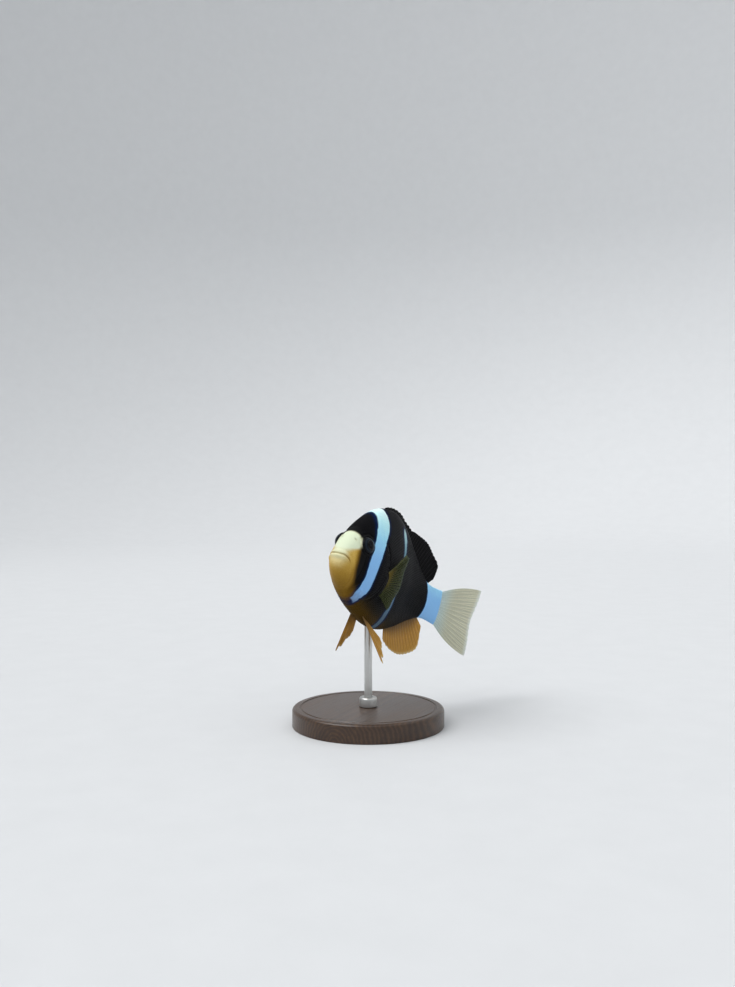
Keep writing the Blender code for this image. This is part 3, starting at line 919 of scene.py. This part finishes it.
# The anal fin: two short spines and thirteen branching rays under the tail stalk, cast in yellow film that is
# a little see-through and rooted in the keel.
ANAL = (
    (0.620, 0.044, 0.030),
    (0.660, 0.086, 0.064),
    (0.710, 0.116, 0.092),
    (0.760, 0.122, 0.112),
    (0.810, 0.100, 0.112),
    (0.852, 0.024, 0.060),
)
yellow_finish, yellow_colour, yellow_out = fin_finish(
    "yellow_film",
    (0.520, 0.245, 0.022),
    (0.640, 0.360, 0.060),
    (0.700, 0.520, 0.220),
    0.12,
)
smoke = (1.0 - yellow_out.between(0.05, 0.55)) * 0.85
yellow_finish.wear(Base_Color=yellow_finish.mix(smoke, yellow_colour, (0.075, 0.040, 0.012)))
anal = fin_blade("anal_lobe", "anal_fin", median_line(ANAL, keel, -1), 15, 2, yellow_finish, notch=0.03)

# The tail fin: fifteen branching rays that open like a fan from the stalk, cast in pale, thin film and
# hollowed a little behind.
TAIL_FIN_ROOT = 0.986
TAIL_FIN_HALF_ROOT = 0.082
TAIL_FIN_HALF_SPREAD = 0.172
TAIL_FIN_LENGTH = 0.250
TAIL_FIN_NOTCH = 0.026
TAIL_FIN_CORNER = 0.016
TAIL_FIN_EDGE_BULGE = 0.014
TAIL_FIN_HALF_FAN = math.radians(78)


def tail_line(t):
    height = 2 * t - 1
    reach = TAIL_FIN_LENGTH - TAIL_FIN_NOTCH * (1 - abs(height) ** 1.5) - TAIL_FIN_CORNER * height**12
    spread = math.sin(height * TAIL_FIN_HALF_FAN) / math.sin(TAIL_FIN_HALF_FAN)
    root = (TAIL_FIN_ROOT, 0, height * TAIL_FIN_HALF_ROOT)
    return root, (1.0 + reach, 0, spread * TAIL_FIN_HALF_SPREAD), (0, 0, height**3 * TAIL_FIN_EDGE_BULGE)


pale_finish, pale_colour, pale_out = fin_finish(
    "pale_film",
    (0.640, 0.640, 0.480),
    (0.780, 0.760, 0.580),
    (0.820, 0.860, 0.800),
    0.18,
)
stained = (1.0 - pale_out.between(0.0, 0.45)) * 0.6
pale_finish.wear(Base_Color=pale_finish.mix(stained, pale_colour, (0.46, 0.66, 0.74)))
tail = fin_blade("tail_fan", "tail_fin", tail_line, 15, 0, pale_finish, rows=60, notch=0.02, ripple=0.00035)

# The pectoral fins: nineteen rays that fan out from a fleshy upright root behind the gill opening, cast in
# olive film that is a little see-through, with a painted highlight along the first ray.
PECTORAL_SPREAD = (60.0, -36.0)  # degrees of the first ray and the last
PECTORAL_LENGTHS = (0.186, 0.100)
PECTORAL_LONGEST_AT = 0.1
PECTORAL_FALL = 0.55
PECTORAL_FLARE = 0.13
PECTORAL_CUP = 0.006

olive_finish, olive_colour, olive_out = fin_finish(
    "olive_film",
    (0.033, 0.041, 0.010),
    (0.040, 0.047, 0.012),
    (0.060, 0.085, 0.060),
    0.25,
    gloss=0.10,
)
olive_across = olive_finish.attribute("blade")[2]
golden = (1.0 - olive_out.between(0.10, 0.62)) * (1.0 - olive_across.between(0.15, 0.85)) * 0.85
gilded = olive_finish.mix(golden, olive_colour, (0.170, 0.115, 0.020))
# Painted highlight: the first ray is paler along the fin's leading edge.
first_ray_highlight = (1.0 - olive_across.between(0.0, 0.08)) * 0.5
olive_finish.wear(Base_Color=olive_finish.mix(first_ray_highlight, gilded, (0.130, 0.135, 0.060)))


def pectoral_line(hand):
    """The line of the left pectoral fin or, with hand -1, of the right one."""

    def line(t):
        up = PECTORAL_ROOT[0] + (PECTORAL_ROOT[1] - PECTORAL_ROOT[0]) * t
        skin_side = body_place(PECTORAL_ALONG, angle_at(PECTORAL_ALONG, up)).y
        seat = Vector((PECTORAL_ALONG, hand * skin_side, up))
        direction = math.radians(PECTORAL_SPREAD[0] + (PECTORAL_SPREAD[1] - PECTORAL_SPREAD[0]) * t)
        longest, shortest = PECTORAL_LENGTHS
        off_longest = abs(t - PECTORAL_LONGEST_AT) / (1 - PECTORAL_LONGEST_AT)
        length = longest - (longest - shortest) * off_longest**PECTORAL_FALL
        reach = Vector((math.cos(direction), hand * PECTORAL_FLARE, math.sin(direction))) * length
        root = seat - Vector((FIN_ROOT_DEPTH, hand * FIN_ROOT_DEPTH, 0))
        return root, seat + reach, (0, hand * PECTORAL_CUP, 0)

    return line


for side, hand in (("left", 1), ("right", -1)):
    pectoral = fin_blade(
        f"pectoral_fan_{side}",
        f"pectoral_fin_{side}",
        pectoral_line(hand),
        19,
        0,
        olive_finish,
        notch=0.03,
        ripple=0.00025,
        sunk=0.15,
    )

# The pelvic fins: one spine and five rays each, spread under the breast, yellow like the anal fin.
PELVIC_ALONG = (0.335, 0.385)
PELVIC_SIDE = 0.030
PELVIC_LENGTHS = (0.235, 0.120)
PELVIC_DROP = (48.0, 22.0)
PELVIC_FLARE = 0.42


def pelvic_line(hand):
    """The line of the left pelvic fin or, with hand -1, of the right one."""

    def line(t):
        along = PELVIC_ALONG[0] + (PELVIC_ALONG[1] - PELVIC_ALONG[0]) * t
        seat = Vector((along, hand * PELVIC_SIDE * (1 - 0.3 * t), keel(along) + 0.010))
        length = PELVIC_LENGTHS[0] + (PELVIC_LENGTHS[1] - PELVIC_LENGTHS[0]) * t**0.7
        drop = math.radians(PELVIC_DROP[0] + (PELVIC_DROP[1] - PELVIC_DROP[0]) * t)
        reach = Vector((math.cos(drop), hand * PELVIC_FLARE, -math.sin(drop))) * length
        return seat + Vector((-0.006, -hand * 0.006, FIN_ROOT_DEPTH)), seat + reach, (0, 0, 0)

    return line


for side, hand in (("left", 1), ("right", -1)):
    pelvic = fin_blade(
        f"pelvic_blade_{side}", f"pelvic_fin_{side}", pelvic_line(hand), 6, 1, yellow_finish
    )

# The stand's base: a turned disc of dark oiled hardwood, with a rounded top edge and a fine turned groove.
BASE_RADIUS = 0.029
BASE_HEIGHT = 0.007
BASE_EDGE = 0.0012
FOOT_EDGE = 0.0003
GROOVE = (  # steps inwards from the edge, each with how far it falls or rises
    (0.0016, 0.0),
    (0.00025, -0.0003),
    (0.00045, 0.0),
    (0.00025, 0.0003),
    (0.0002, 0.0),
)

wood_finish = Finish("base_wood", Specular_IOR_Level=0.4, Coat_Weight=0.25, Coat_Roughness=0.22)
wood_spot = wood_finish.node("ShaderNodeTexCoord").outputs["Object"]
wood_place = wood_finish.node(
    "ShaderNodeMapping", {"vector_type": "POINT"}, {"Vector": wood_spot, "Scale": (26.0, 3.0, 26.0)}
).outputs[0]
wood_warp = wood_finish.node(
    "ShaderNodeTexNoise",
    inputs={"Vector": wood_place, "Scale": 9.0, "Detail": 6.0, "Roughness": 0.6, "Distortion": 0.8},
)
wood_rings = wood_finish.node(
    "ShaderNodeTexWave",
    {"wave_type": "RINGS", "rings_direction": "Y"},
    {"Vector": wood_place, "Scale": 9.0, "Distortion": 5.0, "Detail": 4.0, "Detail Scale": 1.2},
)
wood_pores_place = wood_finish.node(
    "ShaderNodeMapping", {"vector_type": "POINT"}, {"Vector": wood_spot, "Scale": (1.0, 0.07, 1.0)}
).outputs[0]
wood_pores = wood_finish.node(
    "ShaderNodeTexNoise",
    inputs={"Vector": wood_pores_place, "Scale": 5200.0, "Detail": 3.0, "Roughness": 0.6},
)
growth = wood_finish.number(wood_rings, 1)
figure = wood_finish.number(wood_warp)
pores = wood_finish.number(wood_pores)
wood_colour = wood_finish.ramp(
    growth * 0.26 + figure * 0.64,
    (
        (0.20, (0.026, 0.012, 0.006)),
        (0.45, (0.048, 0.023, 0.010)),
        (0.62, (0.074, 0.036, 0.016)),
        (0.85, (0.104, 0.054, 0.025)),
    ),
)
pored = wood_finish.mix((1.0 - pores.between(0.34, 0.46)) * 0.75, wood_colour, (0.010, 0.005, 0.003))
wood_finish.wear(Base_Color=pored, Roughness=0.30 + figure * 0.16)
wood_finish.bump(pores.between(0.30, 0.5) + figure * 0.3, 0.00005, 0.35)

base_mesh = bmesh.new()
bmesh.ops.create_cone(
    base_mesh,
    cap_ends=True,
    segments=160,
    radius1=BASE_RADIUS,
    radius2=BASE_RADIUS,
    depth=BASE_HEIGHT,
    matrix=Matrix.Translation((0, 0, BASE_HEIGHT / 2)),
)
for height, width, steps in ((BASE_HEIGHT, BASE_EDGE, 6), (0.0, FOOT_EDGE, 2)):
    rims = [edge for edge in base_mesh.edges if all(abs(end.co.z - height) < 1e-6 for end in edge.verts)]
    bmesh.ops.bevel(
        base_mesh, geom=rims, offset=width, segments=steps, profile=0.5, affect="EDGES", material=-1
    )
base_top = max(base_mesh.faces, key=lambda face: face.calc_center_median().z)
for width, depth in GROOVE:
    bmesh.ops.inset_region(base_mesh, faces=[base_top], thickness=width, depth=0.0)
    bmesh.ops.translate(base_mesh, verts=base_top.verts, vec=(0, 0, depth))
bmesh.ops.poke(base_mesh, faces=[base_top])
base = new_piece("stand_disc", base_mesh, wood_finish.material)
base.data.set_sharp_from_angle(angle=math.radians(40))
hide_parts("stand_base")

# The rod and its collar: a polished steel rod that rises to the fish's belly, and a turned steel collar with
# a rounded shoulder that holds it upright on the base.
GAP = 0.0003
ROD_RADIUS = 0.0015
COLLAR_RADIUS = 0.0034
COLLAR_HEIGHT = 0.0035
COLLAR_EDGE = 0.0008
COLLAR_SEAT = 0.0004
ROD_SUNK = 0.001  # how far it goes on into the belly

steel_finish = Finish("brushed_steel", Metallic=1.0)
steel_spot = steel_finish.node("ShaderNodeTexCoord").outputs["Object"]
steel_place = steel_finish.node(
    "ShaderNodeMapping", {"vector_type": "POINT"}, {"Vector": steel_spot, "Scale": (0.06, 0.06, 1.0)}
).outputs[0]
steel_lines = steel_finish.number(
    steel_finish.node(
        "ShaderNodeTexNoise", inputs={"Vector": steel_place, "Scale": 9000.0, "Detail": 3.0, "Roughness": 0.6}
    )
)
smudge = steel_finish.noise(240.0)
steel_finish.wear(
    Base_Color=steel_finish.mix(steel_lines * 0.6 + smudge * 0.2, (0.50, 0.50, 0.49), (0.66, 0.66, 0.64)),
    Roughness=0.24 + steel_lines * 0.12 + smudge * 0.08,
)
steel_finish.bump(steel_lines, 0.00001, 0.25)

foot = BASE_HEIGHT + GAP
rod_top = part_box("stand_rod")[1].z + ROD_SUNK
rod_mesh = bmesh.new()
bmesh.ops.create_cone(
    rod_mesh,
    cap_ends=True,
    segments=48,
    radius1=ROD_RADIUS,
    radius2=ROD_RADIUS,
    depth=rod_top - foot,
    matrix=Matrix.Translation((0, 0, (rod_top + foot) / 2)),
)
rod = new_piece("stand_pin", rod_mesh, steel_finish.material)
rod.data.set_sharp_from_angle(angle=math.radians(40))
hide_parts("stand_rod")

collar_mesh = bmesh.new()
bmesh.ops.create_cone(
    collar_mesh,
    cap_ends=True,
    segments=96,
    radius1=COLLAR_RADIUS,
    radius2=COLLAR_RADIUS,
    depth=COLLAR_HEIGHT,
    matrix=Matrix.Translation((0, 0, foot + COLLAR_HEIGHT / 2)),
)
upper = [e for e in collar_mesh.edges if all(v.co.z > foot + COLLAR_HEIGHT * 0.9 for v in e.verts)]
bmesh.ops.bevel(
    collar_mesh, geom=upper, offset=COLLAR_EDGE, segments=4, profile=0.5, affect="EDGES", material=-1
)
collar_top = max(collar_mesh.faces, key=lambda face: face.calc_center_median().z)
collar_land = COLLAR_RADIUS - COLLAR_EDGE - ROD_RADIUS - GAP
bmesh.ops.inset_region(collar_mesh, faces=[collar_top], thickness=collar_land)
bmesh.ops.inset_region(collar_mesh, faces=[collar_top], thickness=0.0001, depth=-COLLAR_SEAT)
collar = new_piece("stand_ring", collar_mesh, steel_finish.material)
collar.data.set_sharp_from_angle(angle=math.radians(40))
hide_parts("stand_collar")

# The room: a pale studio floor that sweeps up into its wall all round, soft lights above, and the camera,
# level with the fish's head.
FLOOR_REACH = 1.0
SWEEP = 0.6
WALL_HEIGHT = 1.2

floor_finish = Finish("studio_floor", Roughness=0.8, Specular_IOR_Level=0.2)
floor_grain = floor_finish.noise(60.0)
floor_finish.wear(Base_Color=floor_finish.mix(floor_grain, (0.62, 0.63, 0.64), (0.66, 0.67, 0.68)))
floor_mesh = bmesh.new()
middle = floor_mesh.verts.new((0, 0, 0))
rim = floor_mesh.verts.new((FLOOR_REACH, 0, 0))
run = [floor_mesh.edges.new((middle, rim))]
bend_up = bmesh.ops.spin(
    floor_mesh,
    geom=[rim],
    cent=(FLOOR_REACH, 0, SWEEP),
    axis=(0, -1, 0),
    angle=math.pi / 2,
    steps=24,
)
top = bend_up["geom_last"][0]
run.append(floor_mesh.edges.new((top, floor_mesh.verts.new((FLOOR_REACH + SWEEP, 0, WALL_HEIGHT)))))
bmesh.ops.spin(
    floor_mesh,
    geom=floor_mesh.verts[:] + floor_mesh.edges[:],
    cent=(0, 0, 0),
    axis=(0, 0, 1),
    angle=math.tau,
    steps=96,
    use_merge=True,
)
bmesh.ops.remove_doubles(floor_mesh, verts=floor_mesh.verts, dist=1e-6)
bmesh.ops.recalc_face_normals(floor_mesh, faces=floor_mesh.faces)
if floor_mesh.faces[0].normal.z < 0:
    bmesh.ops.reverse_faces(floor_mesh, faces=floor_mesh.faces)
floor_data = bpy.data.meshes.new("studio_floor")
floor_mesh.to_mesh(floor_data)
floor_mesh.free()
floor_data.shade_smooth()
floor_data.materials.append(floor_finish.material)
floor = bpy.data.objects.new("studio_floor", floor_data)
bpy.context.scene.collection.objects.link(floor)

for name, kind, width, power, place in (
    ("key_light", "SUN", math.radians(45), 2.2, (-0.50, -0.60, 1.20)),
    ("fill_light", "SUN", math.radians(70), 0.7, (0.80, -0.30, 0.90)),
    ("rear_light", "SUN", math.radians(70), 0.6, (0.10, 0.90, 0.90)),
    ("catch_light", "AREA", 0.10, 0.12, (-0.05, -0.42, 0.36)),
):
    lamp = bpy.data.lights.new(name, kind)
    lamp.energy = power
    if kind == "SUN":
        lamp.angle = width
    else:
        lamp.shape = "DISK"
        lamp.size = width
    light = bpy.data.objects.new(name, lamp)
    light.location = place
    light.rotation_euler = (SNOUT - light.location).to_track_quat("-Z", "Y").to_euler()
    bpy.context.scene.collection.objects.link(light)
world = bpy.data.worlds.new("studio")
world.use_nodes = True
world.node_tree.nodes["Background"].inputs["Color"].default_value = (0.92, 0.96, 1.0, 1)
world.node_tree.nodes["Background"].inputs["Strength"].default_value = 0.42
bpy.context.scene.world = world
bpy.context.scene.view_settings.view_transform = "Standard"

CAMERA_AZIMUTH = math.radians(26.07)
CAMERA_ELEVATION = math.radians(4.0)
CAMERA_DISTANCE = 4.1 * STANDARD_LENGTH
LENS = 36.2
AIM = (0.0291, 0.0538)
turn_out = math.sin(CAMERA_AZIMUTH) * math.cos(CAMERA_ELEVATION)
turn_back = math.cos(CAMERA_AZIMUTH) * math.cos(CAMERA_ELEVATION)
towards = Vector((turn_out, -turn_back, math.sin(CAMERA_ELEVATION)))
right = Vector((math.cos(CAMERA_AZIMUTH), math.sin(CAMERA_AZIMUTH), 0))
lens = bpy.data.cameras.new("camera")
lens.sensor_width = 36
lens.lens = LENS
lens.clip_start = 0.01
lens.clip_end = 20
camera = bpy.data.objects.new("camera", lens)
camera.location = SNOUT + towards * CAMERA_DISTANCE
raised = towards.cross(right)
looking = right * AIM[0] + raised * AIM[1] - towards
camera.rotation_euler = looking.to_track_quat("-Z", "Y").to_euler()
bpy.context.scene.collection.objects.link(camera)
bpy.context.scene.camera = camera
